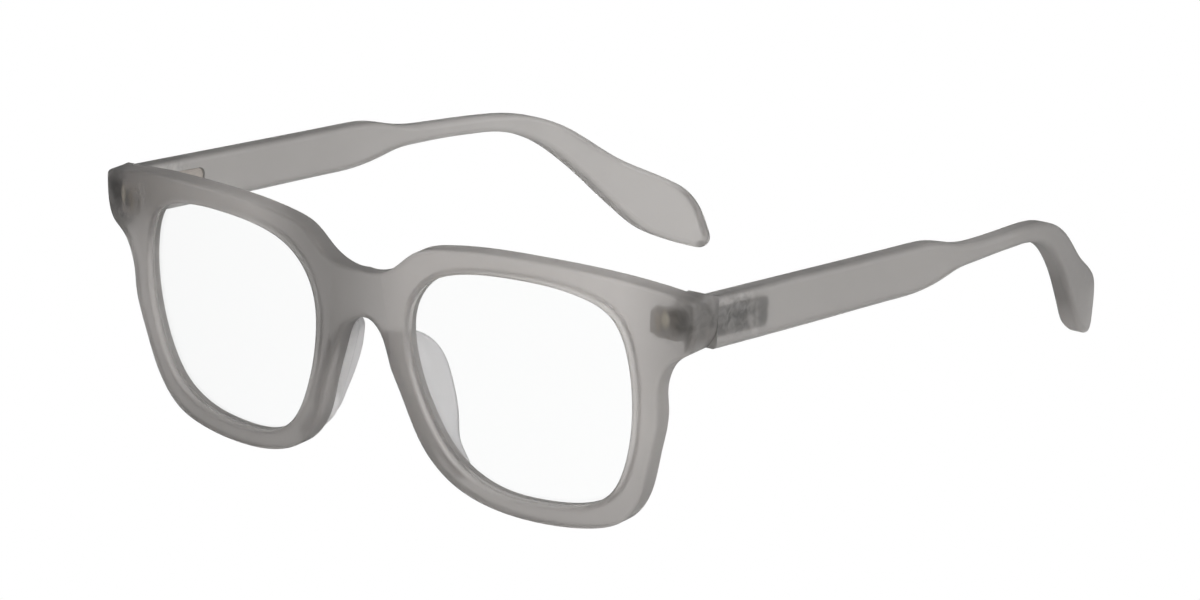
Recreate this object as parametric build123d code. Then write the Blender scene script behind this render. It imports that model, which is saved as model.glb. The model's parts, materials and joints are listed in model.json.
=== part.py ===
from build123d import *
import math
import os

# Square eyeglasses with a frosted acetate front, two acetate temples on barrel
# hinges, clear lenses and bonded nose pads. Millimetres, +Z up, the front looks
# along -Y and the temples run back along +Y. Left and right are the wearer's,
# and +X is the wearer's left. The open glasses rest on the rims and the tips.

os.makedirs("parts", exist_ok=True)

# The two openings of the front, between the rims' front edges
opening_width = 47.7
opening_height = 42.2
nose_gap = 22.8

# The front: rims, end pieces and their thickness
rim_side = 5.0
rim_height = 3.8
front_thickness = 4.1
front_curve_radius = 320.0
front_crown_radius = 230.0
end_reach = 13.0
joint_setback = 15.0
joint_height = 16.1
shoulder_rise = 3.0
shoulder_length = 6.0
soft_edge = 0.7
opening_edge = 0.5

# The bridge and the round scoop in its front face
bridge_top_height = 16.8
bridge_bottom_height = 7.6
bridge_recess = 1.3
recess_half_width = 6.9

# The temples
temple_length = 146.2
temple_height = 9.4
temple_thickness = 4.2
temple_edge = 1.05
temple_slope = 8.7
tip_drop = 27.0
tip_bend_start = 57.0
tip_bend_radius = 204.0
tip_bend_tilt = 12.6

# The lenses in their grooves
lens_thickness = 1.4
lens_setback = 1.2
bevel_depth = 0.9
bevel_land = 0.6
groove_clearance = 0.05

# The bonded nose pads
pad_rise = 7.5
pad_lean = 3.3
pad_width = 3.4
pad_crest_width = 1.8
pad_inset = 0.35

# The barrel hinges
knuckle_radius = 1.45
knuckle_height = 1.1
knuckle_count = 5
knuckle_gap = 0.06
leaf_thickness = 0.8
leaf_setback = 0.4
leaf_gap = 0.15
temple_leaf_length = 15.7
temple_leaf_start = 0.3
front_leaf_length = 5.4
front_leaf_setback = 5.0
leaf_height = 5.4
leaf_corner = 1.3
seat_clearance = 0.2
sweep_clearance = 0.2
anchor_length = 3.0
anchor_height = 3.2
anchor_depth = 1.6
anchor_flare = 0.4
anchor_clearance = 0.02
temple_anchor_shares = (0.33, 0.8)
front_anchor_share = 0.62

# The hinge screws
screw_radius = 0.6
screw_clearance = 0.03
screw_head_radius = 1.0
screw_head_height = 0.5
slot_width = 0.3
slot_depth = 0.25

# Cuts run past what they cut by this much
overrun = 5.0
# Places closer than this count as the same
same_place = 0.02
# How often the resting lean is refined
rest_steps = 4

half_opening_width = opening_width / 2
half_opening_height = opening_height / 2
opening_x = nose_gap / 2 + half_opening_width
opening_edge_x = nose_gap / 2 + opening_width
half_rim_width = half_opening_width + rim_side
half_rim_height = half_opening_height + rim_height
half_width = opening_edge_x + end_reach
hinge_x = -(temple_thickness - leaf_setback + leaf_gap + knuckle_radius)
hinge_height = knuckle_count * knuckle_height + (knuckle_count - 1) * knuckle_gap

# Places on the outlines, as shares of half the opening or half the rim
opening_shares = [
    (-0.935, 0.654), (-0.737, 0.860), (-0.470, 0.958), (0.030, 1.000),
    (0.573, 0.945), (0.855, 0.798), (0.985, 0.453), (1.000, -0.015),
    (0.909, -0.484), (0.752, -0.780), (0.521, -0.930), (0.114, -1.000),
    (-0.345, -0.950), (-0.639, -0.760), (-0.857, -0.390), (-1.000, 0.123),
]
bridge_top_shares = [(0.367, 1.015), (0.728, 1.120)]
brow_shares = [
    (-0.767, 0.897), (-0.551, 0.966), (-0.254, 0.998), (0.164, 1.002), (0.674, 0.974),
]
end_shares = [
    (0.265, 0.937), (0.590, 0.908), (0.820, 0.885), (0.930, 0.871), (0.984, 0.850),
    (1.000, 0.812), (1.000, 0.720), (0.987, 0.630), (0.940, 0.545), (0.850, 0.480),
    (0.700, 0.433), (0.553, 0.373), (0.451, 0.280), (0.395, 0.160),
]
rim_shares = [
    (1.003, 0.010), (0.936, -0.317), (0.841, -0.644), (0.684, -0.870),
    (0.443, -0.968), (0.095, -1.000), (-0.303, -0.953), (-0.568, -0.830),
    (-0.771, -0.588), (-0.904, -0.228), (-1.004, 0.050),
]
bridge_bottom_shares = [(0.350, 0.740)]


def opening_place(across, up, grow):
    across_reach = half_opening_width + grow
    return Vector(opening_x + across * across_reach, 0, up * (half_opening_height + grow))


def rim_place(across, up):
    return Vector(opening_x + across * half_rim_width, 0, up * half_rim_height)


def end_place(across, up):
    return Vector(opening_edge_x + across * end_reach, 0, up * half_rim_height)


def bridge_place(across, up, height):
    return Vector(across * nose_gap / 2, 0, up * height)


def opening_face(grow):
    """One rim's opening, or the lens outline when grown into the rim."""
    places = [opening_place(*share, grow) for share in opening_shares]
    return make_face(Spline(places, periodic=True))


def front_face():
    """The whole front seen from the front, one smooth closed outline."""
    half = [bridge_place(*share, bridge_top_height) for share in bridge_top_shares]
    half += [rim_place(*share) for share in brow_shares]
    half += [end_place(*share) for share in end_shares]
    half += [rim_place(*share) for share in rim_shares]
    half += [bridge_place(*share, bridge_bottom_height) for share in bridge_bottom_shares]
    other = [Vector(-place.X, 0, place.Z) for place in reversed(half)]
    top, bottom = Vector(0, 0, bridge_top_height), Vector(0, 0, bridge_bottom_height)
    return make_face(Spline([top] + half + [bottom] + other, periodic=True))


def curved_slab(near, far):
    """A slab that follows the curved front surface, between two depths behind it."""
    reach = math.asin((half_rim_height + overrun) / (front_crown_radius - far))
    swing = math.degrees(math.asin((half_width + overrun) / (front_curve_radius - far)))

    def arc(depth):
        radius = front_crown_radius - depth
        middle = front_crown_radius
        return [
            Vector(0, middle - radius * math.cos(angle), radius * math.sin(angle))
            for angle in (-reach, 0, reach)
        ]

    low, mid, high = arc(near)
    low_far, mid_far, high_far = arc(far)
    profile = make_face(
        ThreePointArc(low, mid, high) + Line(high, high_far)
        + ThreePointArc(high_far, mid_far, low_far) + Line(low_far, low)
    )
    axis = Axis((0, front_curve_radius, 0), (0, 0, 1))
    return revolve(profile, axis, swing)


def depth_at(point):
    """How far a point lies behind the curved front surface."""
    round_reach = math.hypot(point.X, front_curve_radius - point.Y)
    out = round_reach - (front_curve_radius - front_crown_radius)
    return front_crown_radius - math.hypot(out, point.Z)


def backward(face, amount):
    return extrude(face, amount, dir=(0, 1, 0))


def prism_back(face):
    """A face of the outlines, run from before the front to behind the joints."""
    return backward(Pos(0, -overrun, 0) * face, joint_setback + 3 * overrun)


def left_space():
    """All space on the wearer's left of the middle."""
    reach = half_width + overrun
    return Pos(reach, 0, 0) * Box(2 * reach, 4 * reach, 4 * reach)


def edges_at(body, depth):
    """The edges that run at one depth behind the front surface, off the middle."""
    steps = (0, 0.25, 0.5, 0.75, 1)
    return [
        edge for edge in body.edges()
        if all(abs(depth_at(edge @ step) - depth) < same_place for step in steps)
        and any(abs((edge @ step).X) > same_place for step in steps)
    ]


def opening_edges(body, depth):
    """The edges of the opening alone, at one depth."""
    return [
        edge for edge in edges_at(body, depth)
        if edge.bounding_box().size.X < opening_width + rim_side
        and abs(edge.bounding_box().center().X - opening_x) < rim_side
    ]


def bridge_recess_cut():
    """The scoop between the rims, as deep in the middle as the bridge's recess."""
    radius = (recess_half_width**2 + bridge_recess**2) / bridge_recess / 2
    floor = bridge_recess + bridge_top_height * bridge_bottom_height / front_crown_radius / 2
    return Pos(0, floor - radius, 0) * Cylinder(radius, 2 * half_rim_height)


def bridge_edges(body):
    """The recess's edges on the outline, at the top and bottom of the bridge."""
    chosen = []
    for edge in body.edges():
        middle = edge @ 0.5
        on_outline = edge.bounding_box().size.X > bridge_recess
        behind = same_place < depth_at(middle) < front_thickness - bridge_recess
        above = middle.Z > bridge_bottom_height / 2
        if on_outline and behind and above and middle.X < recess_half_width:
            chosen.append(edge)
    return chosen


def arm_frame(shape):
    """Sets a shape drawn in the temple's own frame at the left joint.

    There X = 0 is the outer face, Y = 0 the joint and Z = 0 the hinge's middle.
    """
    return Pos(half_width, joint_setback, joint_height) * Rot(-temple_slope, 0, 0) * shape


def end_block(prism):
    """The end piece behind the rim, back to the joint and flush with the temple."""
    half = temple_height / 2
    tilt = math.tan(math.radians(temple_slope))
    inner = half_width - temple_thickness
    top = joint_height + temple_upper_shares[0][1] * temple_height
    bottom = joint_height - half
    shoulder = joint_setback - shoulder_length
    side = Polyline(
        (inner, 0, bottom - overrun),
        (inner, joint_setback - (half + overrun) * tilt, bottom - overrun),
        (inner, joint_setback + half * tilt, top), (inner, shoulder, top + shoulder_rise),
        (inner, 0, top + shoulder_rise + overrun), close=True,
    )
    block = extrude(make_face(side), temple_thickness + overrun, dir=(1, 0, 0))
    return block & curved_slab(front_thickness / 2, joint_setback + overrun) & prism


def half_front():
    """The left half of the front, before its grooves and hinge seats."""
    prism = prism_back(front_face()) & left_space()
    plate = (prism & curved_slab(0, front_thickness)) - bridge_recess_cut()
    plate = fillet(edges_at(plate, 0) + bridge_edges(plate), soft_edge)
    plate = fillet(edges_at(plate, front_thickness), soft_edge)
    plate -= prism_back(opening_face(0))
    plate = fillet(opening_edges(plate, 0) + opening_edges(plate, front_thickness), opening_edge)
    return plate + end_block(prism)


# The temple's upper and lower edges. Each place is a share of the length, a
# share of the hinge-end height, and a share of how far the tip drops
temple_upper_shares = [
    (0.000, 0.521, 0.000), (0.171, 0.561, 0.000), (0.294, 0.590, 0.000),
    (0.395, 0.619, 0.000), (0.431, 0.611, 0.000), (0.458, 0.548, 0.000),
    (0.486, 0.457, 0.000), (0.513, 0.404, 0.000), (0.554, 0.389, 0.000),
    (0.616, 0.396, 0.000), (0.670, 0.394, 0.001), (0.711, 0.394, 0.019),
    (0.749, 0.394, 0.065), (0.787, 0.394, 0.146), (0.828, 0.394, 0.278),
    (0.869, 0.394, 0.417), (0.910, 0.394, 0.522), (0.947, 0.394, 0.615),
    (0.971, 0.394, 0.700), (0.988, 0.394, 0.826), (0.999, 0.394, 1.000),
]
tip_shares = [
    (1.000, 0.394, 1.104), (0.989, 0.394, 1.146), (0.976, 0.394, 1.137),
]
temple_lower_shares = [
    (0.951, 0.040, 0.968), (0.923, 0.040, 0.907), (0.899, 0.040, 0.832),
    (0.876, 0.040, 0.725), (0.848, 0.040, 0.584), (0.821, 0.040, 0.444),
    (0.793, 0.040, 0.312), (0.763, 0.040, 0.190), (0.732, 0.040, 0.095),
    (0.702, 0.040, 0.038), (0.670, 0.040, 0.005), (0.629, 0.045, 0.000),
    (0.575, 0.034, 0.000), (0.527, 0.000, 0.000), (0.487, -0.053, 0.000),
    (0.458, -0.160, 0.000), (0.431, -0.250, 0.000), (0.397, -0.319, 0.000),
    (0.349, -0.348, 0.000), (0.233, -0.399, 0.000), (0.109, -0.449, 0.000),
    (0.000, -0.484, 0.000),
]


def temple_place(along, height, drop):
    return Vector(0, along * temple_length, height * temple_height - drop * tip_drop)


def temple_blank():
    """The temple's side outline, cut from a sheet that bends inwards at the tip."""
    shares = temple_upper_shares + tip_shares + temple_lower_shares
    places = [temple_place(*share) for share in shares]
    side = make_face(Spline(places) + Line(places[-1], places[0]))
    swing = temple_length / tip_bend_radius
    profile = extrude(side, temple_length, dir=(1, 0, 0), both=True)

    def bent(radius, angle):
        across = radius * math.cos(angle) - tip_bend_radius
        return Vector(across, tip_bend_start + radius * math.sin(angle), 0)

    inner_radius = tip_bend_radius - temple_thickness
    start_out, start_in = Vector(0, -overrun, 0), Vector(-temple_thickness, -overrun, 0)
    sheet = make_face(
        Line(start_out, bent(tip_bend_radius, 0))
        + ThreePointArc(*(bent(tip_bend_radius, swing * step / 2) for step in range(3)))
        + Line(bent(tip_bend_radius, swing), bent(inner_radius, swing))
        + ThreePointArc(*(bent(inner_radius, swing * (2 - step) / 2) for step in range(3)))
        + Line(bent(inner_radius, 0), start_in) + Line(start_in, start_out)
    )
    sheet = extrude(sheet, temple_length, dir=(0, 0, 1), both=True)
    return profile & Rot(-tip_bend_tilt, 0, 0) * sheet


def soft_temple():
    """The temple with its long edges rounded and its joint face left flat."""
    blank = temple_blank()
    long_edges = [
        edge for edge in blank.edges()
        if edge.length > 2 * temple_height and edge.bounding_box().size.Y > temple_height
    ]
    return fillet(long_edges, temple_edge)


def pill(length, height, corner, thickness):
    """A flat plate with rounded corners, its thickness along X from 0 inwards."""
    plate = Plane.YZ * RectangleRounded(length, height, corner)
    return extrude(plate, thickness, dir=(-1, 0, 0))


def lens_shape(grow):
    """A lens with a bevelled edge, or its groove when grown by a clearance."""
    outline = prism_back(opening_face(bevel_depth + grow))
    slab = curved_slab(lens_setback - grow, lens_setback + lens_thickness + grow)
    lens = outline & slab
    return chamfer(lens.edges().filter_by(lambda edge: edge.length > opening_width),
                   (lens_thickness - bevel_land) / 2)


def rear_depth(x, z):
    """Where the front's rear surface lies, back from the origin, at one place."""
    radius = front_crown_radius - front_thickness
    out = front_curve_radius - front_crown_radius + math.sqrt(radius**2 - z**2)
    return front_curve_radius - math.sqrt(out**2 - x**2)


def nasal_edge(height):
    """How far from the middle the rim's nose side lies at one height."""
    places = [rim_place(*share) for share in rim_shares[-5:]]
    places += [bridge_place(*share, bridge_bottom_height) for share in bridge_bottom_shares]
    for low, high in zip(places, places[1:]):
        if height <= high.Z:
            share = (height - low.Z) / (high.Z - low.Z)
            return low.X + share * (high.X - low.X)
    return places[-1].X


# Down the nose pad: the height as a share of half the rim's height, then how far
# the crest rises, how far it leans out and how wide the pad is, as shares
pad_shares = [
    (0.225, 0.20, 0.80, 0.30), (0.190, 0.55, 0.95, 0.72), (0.110, 0.84, 1.00, 0.92),
    (0.010, 0.97, 1.02, 1.00), (-0.110, 1.00, 0.96, 1.00), (-0.230, 0.95, 0.90, 1.00),
    (-0.350, 0.85, 0.84, 1.02), (-0.460, 0.70, 0.76, 1.06), (-0.570, 0.54, 0.68, 1.10),
    (-0.670, 0.40, 0.62, 1.12), (-0.750, 0.24, 0.60, 0.96), (-0.790, 0.06, 0.60, 0.50),
]


def pad_section(up, rise, lean, width):
    """One level cut through the pad: a wedge with a round crest, sunk in the rim."""
    height = up * half_rim_height
    start = nasal_edge(height) + pad_inset
    rear = rear_depth(start, height)
    foot = rear - soft_edge / 2
    base, crest = width * pad_width, width * pad_crest_width
    tip = rear + rise * pad_rise
    lean_x = start - pad_inset + lean * pad_lean
    places = [
        Vector(start, foot, height), Vector(start + base, foot, height),
        Vector((start + base + lean_x + crest / 2) / 2, (rear + tip) / 2, height),
        Vector(lean_x + crest / 2, tip - crest / 4, height), Vector(lean_x, tip, height),
        Vector(lean_x - crest / 2, tip - crest / 4, height),
        Vector((start + lean_x - crest / 2) / 2, (rear + tip) / 2, height),
    ]
    return make_face(Spline(places, periodic=True))


def nose_pad(front):
    """The bonded pad behind the rim, with the rim cut away where they meet."""
    return loft([pad_section(*share) for share in pad_shares]) - front


def knuckle(index, radius):
    """One of the hinge's knuckles, or its swept space, counted from the bottom."""
    pitch = knuckle_height + knuckle_gap
    height = (index - (knuckle_count - 1) / 2) * pitch
    return Pos(hinge_x, 0, height) * Cylinder(radius, knuckle_height)


def hinge_column(radius, height):
    return Pos(hinge_x, 0, 0) * Cylinder(radius, height)


def screw_bore(clearance):
    return hinge_column(screw_radius + clearance, hinge_height + 2 * overrun)


def anchor(length):
    """A foot sunk in the acetate, wider at its deep end so that it can't pull out."""
    narrow = Rectangle(length, anchor_height)
    wide = Rectangle(length + 2 * anchor_flare, anchor_height + 2 * anchor_flare)
    return loft([narrow, Pos(0, 0, anchor_depth) * wide])


def temple_anchors(grow):
    """The two feet of the temple's leaf, deep end outwards."""
    floor = -(temple_thickness - leaf_setback - leaf_thickness)
    shapes = []
    for share in temple_anchor_shares:
        foot = Rot(0, 90, 0) * anchor(anchor_length + grow)
        shapes.append(Pos(floor, share * temple_leaf_length, 0) * foot)
    return shapes


def temple_leaf():
    """The temple's leaf: plate, feet and the knuckles between the front's."""
    face = -(temple_thickness - leaf_setback - leaf_thickness)
    length = temple_leaf_length - temple_leaf_start
    plate = pill(length, leaf_height, leaf_corner, leaf_thickness)
    leaf = Pos(face, temple_leaf_start + length / 2, 0) * plate
    reach = face - hinge_x
    for index in range(1, knuckle_count, 2):
        pitch = (index - (knuckle_count - 1) / 2) * (knuckle_height + knuckle_gap)
        web = Box(reach, knuckle_radius, knuckle_height,
                  align=(Align.MIN, Align.MIN, Align.CENTER))
        leaf += knuckle(index, knuckle_radius) + Pos(hinge_x, 0, pitch) * web
    for foot in temple_anchors(0):
        leaf += foot
    return leaf - screw_bore(screw_clearance)


def temple():
    """The acetate temple with the leaf's pocket and room for the front's knuckles."""
    pocket_depth = leaf_setback + leaf_thickness
    pocket = pill(
        2 * (temple_leaf_length + seat_clearance), leaf_height + 2 * seat_clearance,
        leaf_corner + seat_clearance, pocket_depth + overrun,
    )
    sweep = hinge_column(knuckle_radius + sweep_clearance, hinge_height + 2 * seat_clearance)
    body = soft_temple() - (Pos(-(temple_thickness - pocket_depth), 0, 0) * pocket + sweep)
    for foot in temple_anchors(anchor_clearance):
        body -= foot
    return body


def front_leaf_place(shape):
    """Seats a shape drawn on the leaf: X along it from its outer end, Y up."""
    return Pos(-temple_thickness, -front_leaf_setback, 0) * Rot(90, 0, 0) * shape


def front_anchor(grow):
    middle = -front_leaf_length * front_anchor_share
    return front_leaf_place(Pos(middle, 0, 0) * anchor(anchor_length + grow))


def front_leaf():
    """The front's leaf: a plate with a foot, and three knuckles on webs."""
    plate = Rectangle(front_leaf_length, leaf_height)
    plate = fillet(plate.vertices().sort_by(Axis.X)[:2], leaf_corner)
    plate = Pos(-front_leaf_length / 2 - leaf_gap, 0, 0) * extrude(plate, -leaf_thickness)
    leaf = front_leaf_place(plate) + front_anchor(0)
    reach = knuckle_radius - hinge_x - temple_thickness - leaf_gap
    for index in range(0, knuckle_count, 2):
        pitch = (index - (knuckle_count - 1) / 2) * (knuckle_height + knuckle_gap)
        web = Box(reach, front_leaf_setback - leaf_thickness / 2, knuckle_height,
                  align=(Align.MAX, Align.MAX, Align.CENTER))
        web = Pos(-temple_thickness - leaf_gap, 0, pitch) * web
        leaf += knuckle(index, knuckle_radius) + web
    return leaf - screw_bore(screw_clearance / 2)


def front_seat():
    """What is milled out of the front's rear for its leaf and the knuckles."""
    size = (front_leaf_length + leaf_gap + seat_clearance, leaf_height + 2 * seat_clearance)
    seat = Pos(-size[0] / 2, 0, 0) * Rectangle(*size)
    seat = fillet(seat.vertices().sort_by(Axis.X)[:2], leaf_corner + seat_clearance)
    seat = front_leaf_place(extrude(seat, -front_leaf_setback))
    sweep = hinge_column(knuckle_radius + sweep_clearance, hinge_height + 2 * seat_clearance)
    return [seat, sweep, front_anchor(anchor_clearance)]


def hinge_screw():
    """The slotted screw, head up, that every knuckle turns on or holds."""
    top = hinge_height / 2
    shank = hinge_column(screw_radius, hinge_height)
    head = Cylinder(screw_head_radius, screw_head_height)
    head = Pos(hinge_x, 0, top + screw_head_height / 2) * head
    slot = Box(3 * screw_head_radius, slot_width, 2 * slot_depth)
    return shank + head - Pos(hinge_x, 0, top + screw_head_height) * slot


def right_of(shape):
    """The same piece for the wearer's right."""
    return mirror(shape, about=Plane.YZ)


def lowest(shape, lean):
    return (Rot(lean, 0, 0) * shape).bounding_box().min.Z


def resting_lean(front, arm):
    """The lean about X that sets the rims' bottoms and the tips at one level."""
    lean = 0.0
    for step in range(rest_steps):
        lift = lowest(arm, lean) - lowest(front, lean)
        lean -= math.degrees(lift / temple_length)
    return lean


groove = lens_shape(groove_clearance)
left_half = half_front() - groove
for cut in front_seat():
    left_half -= arm_frame(cut)
front = left_half + right_of(left_half)

left_pieces = {
    "lens": lens_shape(0),
    "nose_pad": nose_pad(left_half),
    "temple": arm_frame(temple()),
    "temple_hinge": arm_frame(temple_leaf()),
    "front_hinge": arm_frame(front_leaf()),
    "hinge_screw": arm_frame(hinge_screw()),
}
pieces = {"front_frame": front}
for name, piece in left_pieces.items():
    pieces[name + "_left"] = piece
    pieces[name + "_right"] = right_of(piece)

# The glasses rest on the rims' bottoms and the tips, with the box's bottom centre
# at the origin
lean = resting_lean(front, left_pieces["temple"])
rested = {name: Rot(lean, 0, 0) * piece for name, piece in pieces.items()}
boxes = [rested[name].bounding_box() for name in ("front_frame", "temple_left")]
near_end, far_end = boxes[0].min.Y, boxes[1].max.Y
shift = Pos(0, -(near_end + far_end) / 2, -boxes[0].min.Z)

for name, piece in rested.items():
    solid = (shift * piece).solids()
    assert len(solid) == 1, name
    export_step(solid[0], "parts/" + name + ".step")

hinge_place = arm_frame(Pos(hinge_x, 0, 0))
for place in (hinge_place, arm_frame(Pos(hinge_x, 0, hinge_height / 2))):
    spot = (shift * Rot(lean, 0, 0) * place).position
    print("left hinge pin", round(spot.X, 4), round(spot.Y, 4), round(spot.Z, 4))
print("lean", round(lean, 4), "shift", shift.position)
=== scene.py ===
import bpy, json
from math import atan2
from mathutils import Euler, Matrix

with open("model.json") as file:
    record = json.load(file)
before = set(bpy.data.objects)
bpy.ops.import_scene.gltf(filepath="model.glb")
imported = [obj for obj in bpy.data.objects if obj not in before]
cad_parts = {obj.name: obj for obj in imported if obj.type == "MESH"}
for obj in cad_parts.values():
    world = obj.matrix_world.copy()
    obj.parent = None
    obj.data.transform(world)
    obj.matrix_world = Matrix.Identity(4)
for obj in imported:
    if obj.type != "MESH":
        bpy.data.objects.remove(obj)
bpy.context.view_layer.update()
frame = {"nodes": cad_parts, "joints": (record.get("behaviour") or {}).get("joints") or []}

# Front
# One thick piece of frosted grey acetate, cut from sheet and tumbled matt. Light goes
# into it and comes out greyer. Its colour carries painted shade: deeper at the bridge, low
# on the rims and at both ends, and mottled over the buried hinge leaves, with a painted
# shadow over the screw foot and a painted pale brown glint beside it.
hinge = next(joint for joint in frame["joints"] if joint["name"] == "left_temple_fold")
hinge_x, hinge_y, hinge_z = hinge["pos_m"]


def new_finish(name):
    """A new material, its nodes, its shader and the place of each point on the piece."""
    mat = bpy.data.materials.new(name)
    mat.use_nodes = True
    tree = mat.node_tree
    coords = tree.nodes.new("ShaderNodeTexCoord")
    return mat, tree, tree.nodes["Principled BSDF"], coords.outputs["Object"]


def new_effect(name, inputs, outputs):
    """A node group that more than one finish uses, its given values and its results."""
    effect = bpy.data.node_groups.new(name, "ShaderNodeTree")
    for label, kind in inputs.items():
        effect.interface.new_socket(label, in_out="INPUT", socket_type="NodeSocket" + kind)
    for label, kind in outputs.items():
        effect.interface.new_socket(label, in_out="OUTPUT", socket_type="NodeSocket" + kind)
    given = effect.nodes.new("NodeGroupInput").outputs
    results = effect.nodes.new("NodeGroupOutput").inputs
    return effect, given, results


def feed(tree, source, socket):
    """Join a node's output to a socket, or set the socket to a plain value."""
    if isinstance(source, bpy.types.NodeSocket):
        tree.links.new(source, socket)
    else:
        socket.default_value = source


def use_effect(tree, effect, position, values):
    """Place an effect in a finish with the finish's own values."""
    node = tree.nodes.new("ShaderNodeGroup")
    node.node_tree = effect
    feed(tree, position, node.inputs["Position"])
    for label, value in values.items():
        feed(tree, value, node.inputs[label])
    return node.outputs


def axes(tree, position):
    """The X, Y and Z of a place."""
    split = tree.nodes.new("ShaderNodeSeparateXYZ")
    feed(tree, position, split.inputs["Vector"])
    return split.outputs["X"], split.outputs["Y"], split.outputs["Z"]


def clouds(tree, position, scale, detail=2.0, distortion=0.0):
    """Soft random clouds between 0 and 1."""
    noise = tree.nodes.new("ShaderNodeTexNoise")
    feed(tree, position, noise.inputs["Vector"])
    feed(tree, scale, noise.inputs["Scale"])
    feed(tree, detail, noise.inputs["Detail"])
    feed(tree, distortion, noise.inputs["Distortion"])
    return noise.outputs["Fac"]


def carry(tree, value, span, result=(0.0, 1.0), soft=False):
    """Carry a value from the span that it runs over to the result that it gives."""
    step = tree.nodes.new("ShaderNodeMapRange")
    step.interpolation_type = "SMOOTHSTEP" if soft else "LINEAR"
    feed(tree, value, step.inputs["Value"])
    feed(tree, span[0], step.inputs["From Min"])
    feed(tree, span[1], step.inputs["From Max"])
    feed(tree, result[0], step.inputs["To Min"])
    feed(tree, result[1], step.inputs["To Max"])
    return step.outputs["Result"]


def reckon(tree, operation, first, second=0.0):
    """One step of arithmetic on two values."""
    step = tree.nodes.new("ShaderNodeMath")
    step.operation = operation
    feed(tree, first, step.inputs[0])
    feed(tree, second, step.inputs[1])
    return step.outputs["Value"]


def shift(tree, operation, first, second):
    """One step of arithmetic on two places."""
    step = tree.nodes.new("ShaderNodeVectorMath")
    step.operation = operation
    feed(tree, first, step.inputs[0])
    feed(tree, second, step.inputs[1])
    return step.outputs["Vector"]


def only_where(tree, mask, grey):
    """The grey where the mask is 1, and a plain 1 where the mask is 0."""
    mixed = tree.nodes.new("ShaderNodeMix")
    feed(tree, mask, mixed.inputs["Factor"])
    feed(tree, 1.0, mixed.inputs["A"])
    feed(tree, grey, mixed.inputs["B"])
    return mixed.outputs["Result"]


def blend(tree, mask, first, second, kind="MIX"):
    """The first colour where the mask is 0, and the second over it where the mask is 1."""
    mixed = tree.nodes.new("ShaderNodeMixRGB")
    mixed.blend_type = kind
    feed(tree, mask, mixed.inputs["Fac"])
    feed(tree, first, mixed.inputs["Color1"])
    feed(tree, second, mixed.inputs["Color2"])
    return mixed.outputs["Color"]


def shade(tree, colour, grey):
    """The colour made darker by the grey."""
    darker = tree.nodes.new("ShaderNodeVectorMath")
    darker.operation = "SCALE"
    feed(tree, colour, darker.inputs[0])
    feed(tree, grey, darker.inputs["Scale"])
    return darker.outputs["Vector"]


def make_frosted(tree, shader, skin, colour, grain_strength, density):
    """Give a shader the matt skin, the milky body and the grey depth of the acetate."""
    feed(tree, colour, shader.inputs["Base Color"])
    feed(tree, skin["Roughness"], shader.inputs["Roughness"])
    bump = tree.nodes.new("ShaderNodeBump")
    bump.inputs["Strength"].default_value = grain_strength
    bump.inputs["Distance"].default_value = 0.00004
    feed(tree, skin["Grain"], bump.inputs["Height"])
    feed(tree, bump.outputs["Normal"], shader.inputs["Normal"])
    shader.inputs["IOR"].default_value = 1.48
    shader.inputs["Transmission Weight"].default_value = 0.8
    shader.inputs["Subsurface Weight"].default_value = 0.5
    shader.inputs["Subsurface Radius"].default_value = (1.0, 0.95, 0.88)
    shader.inputs["Subsurface Scale"].default_value = 0.002
    depth = tree.nodes.new("ShaderNodeVolumeAbsorption")
    depth.inputs["Color"].default_value = (0.52, 0.50, 0.49, 1)
    depth.inputs["Density"].default_value = density
    feed(tree, depth.outputs["Volume"], tree.nodes["Material Output"].inputs["Volume"])


def finish_pieces(mat, names):
    """Put a finish on the named pieces."""
    for name in names:
        frame["nodes"][name].material_slots[0].material = mat


frosted_skin, given, results = new_effect(
    "frosted_skin",
    {"Position": "Vector", "Cloud Scale": "Float", "Sheen Scale": "Float", "Grain Scale": "Float",
     "Deep Tint": "Color", "Pale Tint": "Color"},
    {"Tint": "Color", "Roughness": "Float", "Grain": "Float"},
)
cloudy = clouds(frosted_skin, given["Position"], given["Cloud Scale"], detail=3)
cloudy = carry(frosted_skin, cloudy, (0.3, 0.7))
tint = blend(frosted_skin, cloudy, given["Deep Tint"], given["Pale Tint"])
feed(frosted_skin, tint, results["Tint"])
sheen = clouds(frosted_skin, given["Position"], given["Sheen Scale"], detail=4)
feed(frosted_skin, carry(frosted_skin, sheen, (0, 1), (0.42, 0.50)), results["Roughness"])
grain = clouds(frosted_skin, given["Position"], given["Grain Scale"])
feed(frosted_skin, grain, results["Grain"])

soft_spot, given, results = new_effect(
    "soft_spot",
    {"Position": "Vector", "Centre": "Vector", "Reach": "Vector"},
    {"Mask": "Float"},
)
x, y, z = axes(soft_spot, given["Position"])
either_side = soft_spot.nodes.new("ShaderNodeCombineXYZ")
feed(soft_spot, reckon(soft_spot, "ABSOLUTE", x), either_side.inputs["X"])
feed(soft_spot, y, either_side.inputs["Y"])
feed(soft_spot, z, either_side.inputs["Z"])
offset = shift(soft_spot, "SUBTRACT", either_side.outputs["Vector"], given["Centre"])
share = shift(soft_spot, "DIVIDE", offset, given["Reach"])
distance = soft_spot.nodes.new("ShaderNodeVectorMath")
distance.operation = "LENGTH"
feed(soft_spot, share, distance.inputs[0])
mask = carry(soft_spot, distance.outputs["Value"], (0.25, 1.0), (1.0, 0.0), soft=True)
feed(soft_spot, mask, results["Mask"])

# Mottled painted light and shade, for the acetate over the buried hinge leaves.
mottled_light_and_shade, given, results = new_effect(
    "mottled_light_and_shade",
    {"Position": "Vector", "Scale": "Float", "Deepest": "Float", "Palest": "Float"},
    {"Grey": "Float"},
)
curls = clouds(mottled_light_and_shade, given["Position"], given["Scale"], detail=3, distortion=0.8)
curls = carry(mottled_light_and_shade, curls, (0.36, 0.64), (given["Deepest"], given["Palest"]))
feed(mottled_light_and_shade, curls, results["Grey"])

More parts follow.
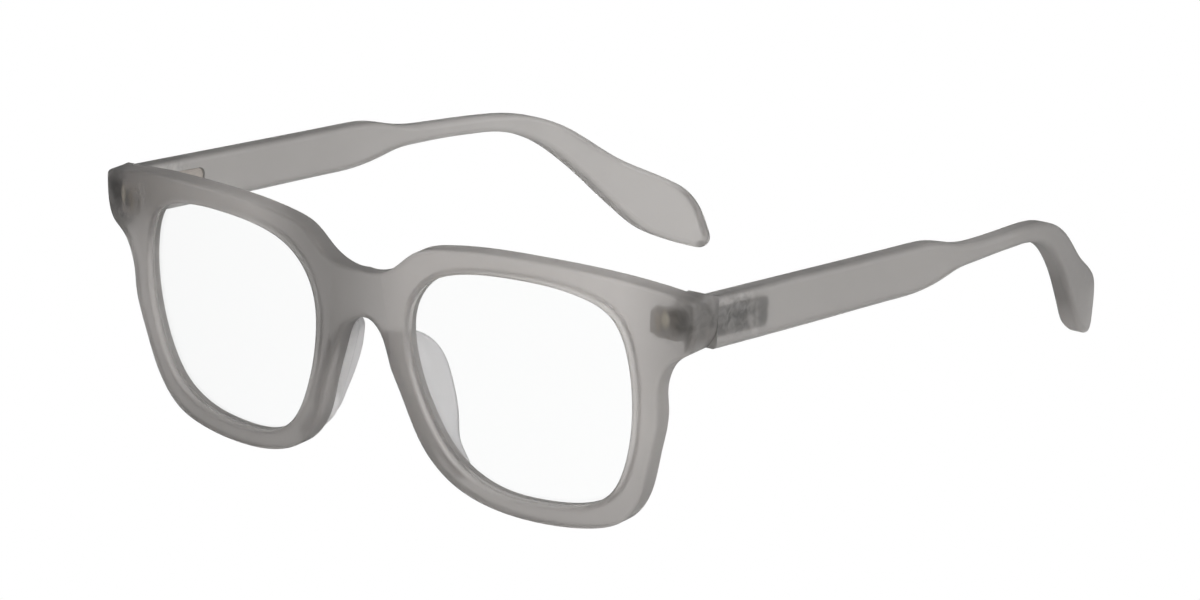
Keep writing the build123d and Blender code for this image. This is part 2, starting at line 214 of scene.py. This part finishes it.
mat, tree, shader, position = new_finish("front_acetate")
skin = use_effect(tree, frosted_skin, position, {
    "Cloud Scale": 55,
    "Sheen Scale": 420,
    "Grain Scale": 3200,
    "Deep Tint": (0.785, 0.764, 0.745, 1),
    "Pale Tint": (0.835, 0.813, 0.795, 1),
})
x, _, z = axes(tree, position)
# Painted shade: the acetate is made darker towards the bottom of the rims, where their lower faces turn
# away from the light.
low_rim_shade = carry(tree, z, (0.002, 0.024), (0.78, 1.0))
# Painted shade in the bridge recess, deepest a little to one side of the middle.
shadiest_x = -0.008  # a little to one side, as the photograph shows
from_shadiest = reckon(tree, "ABSOLUTE", reckon(tree, "SUBTRACT", x, shadiest_x))
bridge_shade = carry(tree, from_shadiest, (0.003, 0.021), (0.60, 1.0), soft=True)
bridge_shade = only_where(tree, carry(tree, z, (0.012, 0.027)), bridge_shade)
# Painted shade of the buried hinge leaves: both ends of the front are made darker.
left_end_shade = carry(tree, x, (0.058, 0.069), (1.0, 0.66))
right_end_shade = carry(tree, x, (-0.048, -0.064), (1.0, 0.84))
# Painted mottled shade, with a little painted light, over the buried hinge leaf.
wisps = use_effect(tree, mottled_light_and_shade, position, {"Scale": 330, "Deepest": 0.58, "Palest": 1.08})
anywhere = 1.0  # so long a reach that a spot is the same all along that axis
around_hinge = use_effect(tree, soft_spot, position, {
    "Centre": (hinge_x + 0.0033, hinge_y, hinge_z + 0.0015),
    "Reach": (0.0068, anywhere, 0.0062),
})
hinge_light_and_shade = only_where(tree, around_hinge["Mask"], wisps["Grey"])
over_foot = use_effect(tree, soft_spot, position, {
    "Centre": (hinge_x + 0.0021, hinge_y, hinge_z + 0.0016),
    "Reach": (0.0034, anywhere, 0.0032),
})
foot_shadow = carry(tree, over_foot["Mask"], (0, 1), (1.0, 0.5))
grey = low_rim_shade
for deeper in (bridge_shade, left_end_shade, right_end_shade, hinge_light_and_shade, foot_shadow):
    grey = reckon(tree, "MULTIPLY", grey, deeper)
# Painted highlight: a pale brown glint of the buried leaf beside the screw foot.
glint_spot = use_effect(tree, soft_spot, position, {
    "Centre": (hinge_x - 0.0003, hinge_y, hinge_z + 0.0016),
    "Reach": (0.0011, anywhere, 0.0022),
})
glint_colour = (1.0, 0.93, 0.80, 1)
colour = blend(tree, glint_spot["Mask"], shade(tree, skin["Tint"], grey), glint_colour)
make_frosted(tree, shader, skin, colour, grain_strength=0.12, density=180)
finish_pieces(mat, ["front_frame"])

# Temples
# Two thinner arms of the same acetate, filed to shape and heated to bend the tips.
# They are a little lighter towards the tips. Over the sunk hinge leaf the outer face has
# painted mottled light and shade, with a pale speckled band near the leaf's end.
mat, tree, shader, position = new_finish("temple_acetate")
skin = use_effect(tree, frosted_skin, position, {
    "Cloud Scale": 38,
    "Sheen Scale": 380,
    "Grain Scale": 3000,
    "Deep Tint": (0.668, 0.652, 0.636, 1),
    "Pale Tint": (0.708, 0.692, 0.676, 1),
})
_, y, _ = axes(tree, position)
towards_tip = carry(tree, y, (-0.03, 0.06), (0.84, 1.0))
# Painted mottled shade and light over the sunk hinge leaf.
wisps = use_effect(tree, mottled_light_and_shade, position, {"Scale": 520, "Deepest": 0.66, "Palest": 1.36})
around_hinge = use_effect(tree, soft_spot, position, {
    "Centre": (hinge_x, hinge_y + 0.0049, hinge_z + 0.0007),
    "Reach": (anywhere, 0.0098, 0.0052),
})
hinge_light_and_shade = only_where(tree, around_hinge["Mask"], wisps["Grey"])
grey = reckon(tree, "MULTIPLY", towards_tip, hinge_light_and_shade)
# A pale speckled band near the end of the sunk leaf.
leaf_end = use_effect(tree, soft_spot, position, {
    "Centre": (hinge_x, hinge_y + 0.0101, hinge_z - 0.0010),
    "Reach": (anywhere, 0.0024, 0.0046),
})
specks = carry(tree, clouds(tree, position, 640, detail=1), (0.3, 0.7))
pale_specks = reckon(tree, "MULTIPLY", leaf_end["Mask"], specks)
colour = blend(tree, pale_specks, shade(tree, skin["Tint"], grey), (1.0, 0.97, 0.94, 1))
make_frosted(tree, shader, skin, colour, grain_strength=0.05, density=120)
finish_pieces(mat, ["temple_left", "temple_right"])

# Nose pads
# Moulded in a paler and slightly pink acetate that glows where light passes, and
# bonded on behind the rims.
mat, tree, shader, position = new_finish("pad_acetate")
cloudy = clouds(tree, position, 120, detail=3)
tint = blend(tree, cloudy, (0.88, 0.865, 0.865, 1), (0.93, 0.915, 0.92, 1))
feed(tree, tint, shader.inputs["Base Color"])
feed(tree, carry(tree, cloudy, (0, 1), (0.32, 0.42)), shader.inputs["Roughness"])
shader.inputs["IOR"].default_value = 1.48
shader.inputs["Transmission Weight"].default_value = 0.6
shader.inputs["Subsurface Weight"].default_value = 0.6
shader.inputs["Subsurface Radius"].default_value = (1.0, 0.95, 0.95)
shader.inputs["Subsurface Scale"].default_value = 0.003
finish_pieces(mat, ["nose_pad_left", "nose_pad_right"])

# Lenses
# Clear polished plastic with the faintest smudges, snapped into the rims' grooves, so
# that they show only at their edge.
mat, tree, shader, position = new_finish("clear_lens")
smudges = clouds(tree, position, 90)
feed(tree, carry(tree, smudges, (0, 1), (0.0, 0.03)), shader.inputs["Roughness"])
shader.inputs["Base Color"].default_value = (0.995, 1.0, 0.998, 1)
shader.inputs["IOR"].default_value = 1.5
shader.inputs["Transmission Weight"].default_value = 1.0
finish_pieces(mat, ["lens_left", "lens_right"])

# Front hinges
# Metal leaves with three knuckles each, plated and finely brushed. Where they are sunk
# in the acetate they are dull and mottled, with painted dark shade around the foot and a
# painted pale brown glint at the end.


def bands(tree, value, stops):
    """Colours along a value, given as places from 0 to 1 with their colours."""
    ramp = tree.nodes.new("ShaderNodeValToRGB")
    elements = ramp.color_ramp.elements
    for place, colour in stops[1:-1]:
        elements.new(place).color = colour
    elements[0].color = stops[0][1]
    elements[len(stops) - 1].color = stops[-1][1]
    feed(tree, value, ramp.inputs["Fac"])
    return ramp.outputs["Color"]


def leaf_axes(tree, position):
    """The X, Y and Z of a place in the hinge's own axes, which lean with the screw."""
    lean = atan2(hinge["axis"][1], hinge["axis"][2])
    turned = tree.nodes.new("ShaderNodeMapping")
    turned.vector_type = "TEXTURE"
    turned.inputs["Location"].default_value = (0, hinge_y, hinge_z)
    turned.inputs["Rotation"].default_value = (-lean, 0, 0)
    feed(tree, position, turned.inputs["Vector"])
    return axes(tree, turned.outputs["Vector"])


def make_plated(tree, shader, plate, sunk_shading, sunk):
    """Bright brushed plating where the leaf is bare, and a dull skin with painted light and shade where it
    is sunk.
    """
    feed(tree, blend(tree, sunk, plate["Bare"], sunk_shading), shader.inputs["Base Color"])
    feed(tree, carry(tree, sunk, (0, 1), (1.0, 0.0)), shader.inputs["Metallic"])
    feed(tree, plate["Roughness"], shader.inputs["Roughness"])


brushed_plating, given, results = new_effect(
    "brushed_plating",
    {"Position": "Vector"},
    {"Bare": "Color", "Roughness": "Float", "Mottle": "Color"},
)
stretch = brushed_plating.nodes.new("ShaderNodeMapping")
stretch.inputs["Scale"].default_value = (9000, 500, 9000)
feed(brushed_plating, given["Position"], stretch.inputs["Vector"])
brushing = clouds(brushed_plating, stretch.outputs["Vector"], 1)
bare = blend(brushed_plating, brushing, (0.60, 0.54, 0.49, 1), (0.90, 0.84, 0.78, 1))
feed(brushed_plating, bare, results["Bare"])
feed(brushed_plating, carry(brushed_plating, brushing, (0, 1), (0.24, 0.40)), results["Roughness"])
blotches = clouds(brushed_plating, given["Position"], 900, detail=3)
blotches = carry(brushed_plating, blotches, (0.38, 0.62))
mottle = blend(brushed_plating, blotches, (0.35, 0.34, 0.32, 1), (1, 1, 1, 1))
feed(brushed_plating, mottle, results["Mottle"])

mat, tree, shader, position = new_finish("front_hinge_plate")
plate = use_effect(tree, brushed_plating, position, {})
x, y, z = leaf_axes(tree, position)
outwards = carry(tree, reckon(tree, "ABSOLUTE", x), (hinge_x - 0.0049, hinge_x + 0.0023))
# Painted light and shade along the sunk leaf: a pale brown glint, then a dark shadow around the foot.
sunk_light_and_shade = bands(tree, outwards, [
    (0.00, (0.95, 0.93, 0.90, 1)),
    (0.26, (0.95, 0.93, 0.90, 1)),
    (0.34, (0.95, 0.72, 0.40, 1)),
    (0.42, (0.50, 0.40, 0.25, 1)),
    (0.50, (0.03, 0.03, 0.025, 1)),
    (0.76, (0.05, 0.045, 0.04, 1)),
    (1.00, (0.45, 0.43, 0.40, 1)),
])
sunk_light_and_shade = blend(tree, 0.9, sunk_light_and_shade, plate["Mottle"], "MULTIPLY")
margin = carry(tree, reckon(tree, "ABSOLUTE", z), (0.0010, 0.0026), soft=True)
sunk_light_and_shade = blend(tree, margin, sunk_light_and_shade, (0.85, 0.83, 0.81, 1))
sunk = carry(tree, y, (-0.0053, -0.0056))
make_plated(tree, shader, plate, sunk_light_and_shade, sunk)
finish_pieces(mat, ["front_hinge_left", "front_hinge_right"])

# Temple hinges
# The same plating on the longer leaves with two knuckles each, which are set into the
# temples' inner faces. Their sunk side has painted dark shade towards the knuckles and a pale band near the
# end.
mat, tree, shader, position = new_finish("temple_hinge_plate")
plate = use_effect(tree, brushed_plating, position, {})
x, y, z = leaf_axes(tree, position)
# Painted shade along the sunk leaf, darkest towards the knuckles, then a pale band and a brown edge.
sunk_light_and_shade = bands(tree, carry(tree, y, (0.0, 0.016)), [
    (0.00, (0.30, 0.28, 0.26, 1)),
    (0.30, (0.42, 0.40, 0.37, 1)),
    (0.50, (0.22, 0.20, 0.17, 1)),
    (0.60, (1.00, 0.97, 0.93, 1)),
    (0.74, (1.00, 0.97, 0.93, 1)),
    (0.80, (0.42, 0.30, 0.24, 1)),
    (0.86, (0.95, 0.93, 0.90, 1)),
    (1.00, (0.95, 0.93, 0.90, 1)),
])
sunk_light_and_shade = blend(tree, 0.9, sunk_light_and_shade, plate["Mottle"], "MULTIPLY")
margin = carry(tree, reckon(tree, "ABSOLUTE", z), (0.0014, 0.0027), soft=True)
sunk_light_and_shade = blend(tree, margin, sunk_light_and_shade, (0.80, 0.78, 0.76, 1))
sunk = carry(tree, reckon(tree, "ABSOLUTE", x), (hinge_x + 0.0018, hinge_x + 0.0021))
make_plated(tree, shader, plate, sunk_light_and_shade, sunk)
finish_pieces(mat, ["temple_hinge_left", "temple_hinge_right"])

# Hinge screws
# Turned from brighter steel, with the fine marks that the tool leaves, and driven in
# from above.
mat, tree, shader, position = new_finish("screw_steel")
turning = clouds(tree, position, 4000)
tint = blend(tree, turning, (0.62, 0.61, 0.60, 1), (0.80, 0.79, 0.78, 1))
feed(tree, tint, shader.inputs["Base Color"])
shader.inputs["Metallic"].default_value = 1.0
shader.inputs["Roughness"].default_value = 0.25
finish_pieces(mat, ["hinge_screw_left", "hinge_screw_right"])

# Floor
# A pale floor that is plain white to the camera, also through the lenses, and that
# bounces soft light up under the rims.


def seen_directly(tree):
    """1 for what the camera sees, also through clear plastic, and 0 for all other light."""
    path = tree.nodes.new("ShaderNodeLightPath")
    return reckon(tree, "MAXIMUM", path.outputs["Is Camera Ray"], path.outputs["Is Transmission Ray"])


def white_when_seen(tree, usual, white, output):
    """Show plain white to the camera, and the usual shader to all other light."""
    mix = tree.nodes.new("ShaderNodeMixShader")
    feed(tree, seen_directly(tree), mix.inputs["Fac"])
    feed(tree, usual, mix.inputs[1])
    feed(tree, white, mix.inputs[2])
    feed(tree, mix.outputs["Shader"], output.inputs["Surface"])


bpy.ops.object.select_all(action="DESELECT")
bpy.ops.mesh.primitive_plane_add(size=6, location=(0, 0, 0))
floor = bpy.context.object
floor.name = "floor"
mat = bpy.data.materials.new("pale_floor")
mat.use_nodes = True
tree = mat.node_tree
shader = tree.nodes["Principled BSDF"]
shader.inputs["Base Color"].default_value = (0.6, 0.6, 0.6, 1)
shader.inputs["Roughness"].default_value = 0.9
glow = tree.nodes.new("ShaderNodeEmission")
glow.inputs["Color"].default_value = (1, 1, 1, 1)
glow.inputs["Strength"].default_value = 1.0
white_when_seen(tree, shader.outputs["BSDF"], glow.outputs["Emission"], tree.nodes["Material Output"])
floor.data.materials.append(mat)

# Light
# An even surround, one soft panel high beside the camera that shapes the top edges and
# bevels, and one behind that picks out the temples. Light that passes through the
# acetate leaves out both panels, which would fill it with bright specks.
world = bpy.data.worlds.new("studio")
bpy.context.scene.world = world
world.use_nodes = True
tree = world.node_tree
around = tree.nodes["Background"]
around.inputs["Color"].default_value = (0.96, 0.98, 1.0, 1)
around.inputs["Strength"].default_value = 0.22
white = tree.nodes.new("ShaderNodeBackground")
white.inputs["Color"].default_value = (1, 1, 1, 1)
white.inputs["Strength"].default_value = 1.0
white_when_seen(tree, around.outputs["Background"], white.outputs["Background"], tree.nodes["World Output"])


def add_panel(name, energy, colour, place, turn):
    """A square soft light."""
    panel = bpy.data.lights.new(name, "AREA")
    panel.energy = energy
    panel.size = 0.4
    panel.color = colour
    holder = bpy.data.objects.new(name, panel)
    holder.location = place
    holder.rotation_euler = Euler(turn)
    holder.visible_transmission = False
    bpy.context.scene.collection.objects.link(holder)


add_panel("soft_panel", 3.0, (1.0, 0.98, 0.955), place=(0.395, -0.288, 0.328), turn=(0.977, 0, 1.047))
add_panel("edge_panel", 1.3, (0.97, 0.98, 1.0), place=(0.62, 0.42, 0.30), turn=(1.18, 0, 2.05))

# Camera
# A long lens in front, on the wearer's left and a little above, with the slight roll
# that sets the glasses as the photograph does.
camera = bpy.data.cameras.new("camera")
camera.sensor_width = 36
camera.lens = 156.34
camera.clip_end = 20
camera_object = bpy.data.objects.new("camera", camera)
camera_object.location = (0.618016, -0.731039, 0.314532)
camera_object.rotation_euler = Euler((1.269004, 0.020220, 0.703493))
bpy.context.scene.collection.objects.link(camera_object)
bpy.context.scene.camera = camera_object
bpy.context.scene.view_settings.view_transform = "Standard"
